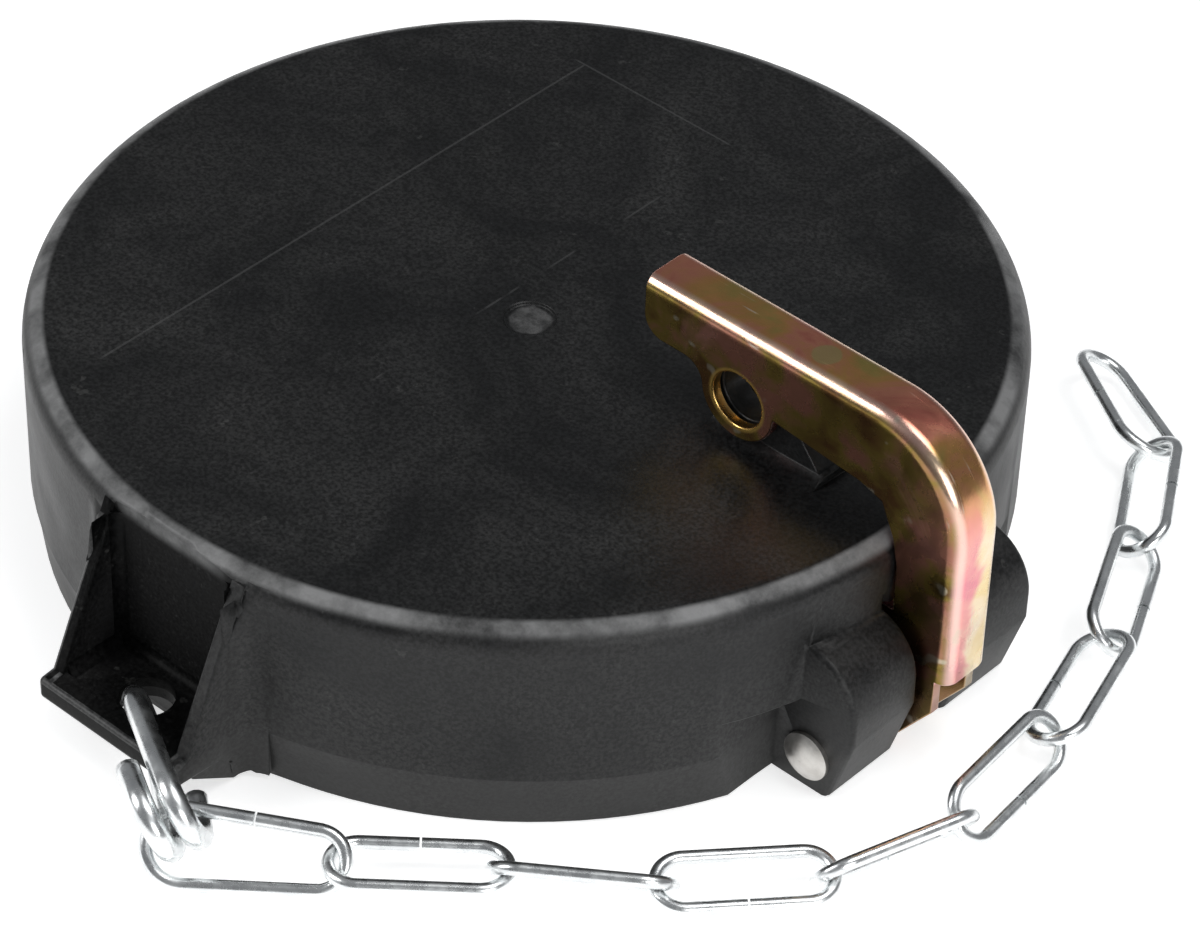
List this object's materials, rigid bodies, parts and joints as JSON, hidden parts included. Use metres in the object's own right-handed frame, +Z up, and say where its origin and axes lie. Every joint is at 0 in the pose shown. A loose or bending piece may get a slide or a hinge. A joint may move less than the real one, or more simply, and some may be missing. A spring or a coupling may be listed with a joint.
{
  "type": "adapter dust cap",
  "caption": "Moulded dust cap for a bottom loading adapter, with a cam lever that hooks under the adapter's flange and a chain on a lap link.",
  "frame": {"origin": "cup axis at the plane of the rim, where the cap rests", "axes": "+Z up from the open rim to the roof, +X from the cup axis to the latch lever, -Y to the chain lug"},
  "size_m": [0.1935, 0.2022, 0.0642],
  "materials": {
    "black_nylon": "matt, moulded, dusty",
    "seal_rubber": "smooth",
    "yellow_zinc": "yellow passivated zinc plate",
    "pin_steel": "plain, slightly dull",
    "zinc_wire": "bright zinc plate"
  },
  "bodies": {
    "cap": {"cap_body": "black_nylon", "gasket": "seal_rubber", "pivot_pin": "pin_steel"},
    "lever": {"latch_lever": "yellow_zinc"},
    "lap": {"lap_link": "zinc_wire"},
    "link_1": {"chain_link_1": "zinc_wire"},
    "link_2": {"chain_link_2": "zinc_wire"},
    "link_3": {"chain_link_3": "zinc_wire"},
    "link_4": {"chain_link_4": "zinc_wire"},
    "link_5": {"chain_link_5": "zinc_wire"},
    "link_6": {"chain_link_6": "zinc_wire"},
    "link_7": {"chain_link_7": "zinc_wire"},
    "link_8": {"chain_link_8": "zinc_wire"},
    "link_9": {"chain_link_9": "zinc_wire"},
    "link_10": {"chain_link_10": "zinc_wire"}
  },
  "joints": [
    {"name": "latch_hinge", "type": "hinge", "parent": "cap", "child": "lever", "pos_m": [0.0815, 0, 0.0066], "axis": [0, 1, 0], "range_deg": [0, 40]},
    {"name": "lap_swing", "type": "hinge", "parent": "cap", "child": "lap", "pos_m": [0.001, -0.0882, 0.009], "axis": [0, 0, 1], "range_deg": [-60, 0]},
    {"name": "chain_swing_1", "type": "hinge", "parent": "lap", "child": "link_1", "pos_m": [0.02139, -0.10541, 0.005], "axis": [0, 0, 1], "range_deg": [-10, 0]},
    {"name": "chain_swing_2", "type": "hinge", "parent": "link_1", "child": "link_2", "pos_m": [0.04443, -0.08898, 0.005], "axis": [0, 0, 1], "range_deg": [-10, 0]},
    {"name": "chain_swing_3", "type": "hinge", "parent": "link_2", "child": "link_3", "pos_m": [0.0633, -0.07258, 0.005], "axis": [0, 0, 1], "range_deg": [-5, 0]},
    {"name": "chain_swing_4", "type": "hinge", "parent": "link_3", "child": "link_4", "pos_m": [0.0834, -0.05771, 0.005], "axis": [0, 0, 1], "range_deg": [-30, 0]},
    {"name": "chain_swing_5", "type": "hinge", "parent": "link_4", "child": "link_5", "pos_m": [0.09996, -0.03898, 0.005], "axis": [0, 0, 1], "range_deg": [-35, 0]},
    {"name": "chain_swing_6", "type": "hinge", "parent": "link_5", "child": "link_6", "pos_m": [0.10748, -0.01514, 0.005], "axis": [0, 0, 1], "range_deg": [-40, 0]},
    {"name": "chain_swing_7", "type": "hinge", "parent": "link_6", "child": "link_7", "pos_m": [0.10508, 0.00974, 0.005], "axis": [0, 0, 1], "range_deg": [-35, 0]},
    {"name": "chain_swing_8", "type": "hinge", "parent": "link_7", "child": "link_8", "pos_m": [0.09798, 0.03371, 0.005], "axis": [0, 0, 1], "range_deg": [-30, 0]},
    {"name": "chain_swing_9", "type": "hinge", "parent": "link_8", "child": "link_9", "pos_m": [0.08703, 0.05618, 0.005], "axis": [0, 0, 1], "range_deg": [-35, 0]},
    {"name": "chain_swing_10", "type": "hinge", "parent": "link_9", "child": "link_10", "pos_m": [0.07396, 0.0775, 0.005], "axis": [0, 0, 1], "range_deg": [-45, 0]}
  ]
}
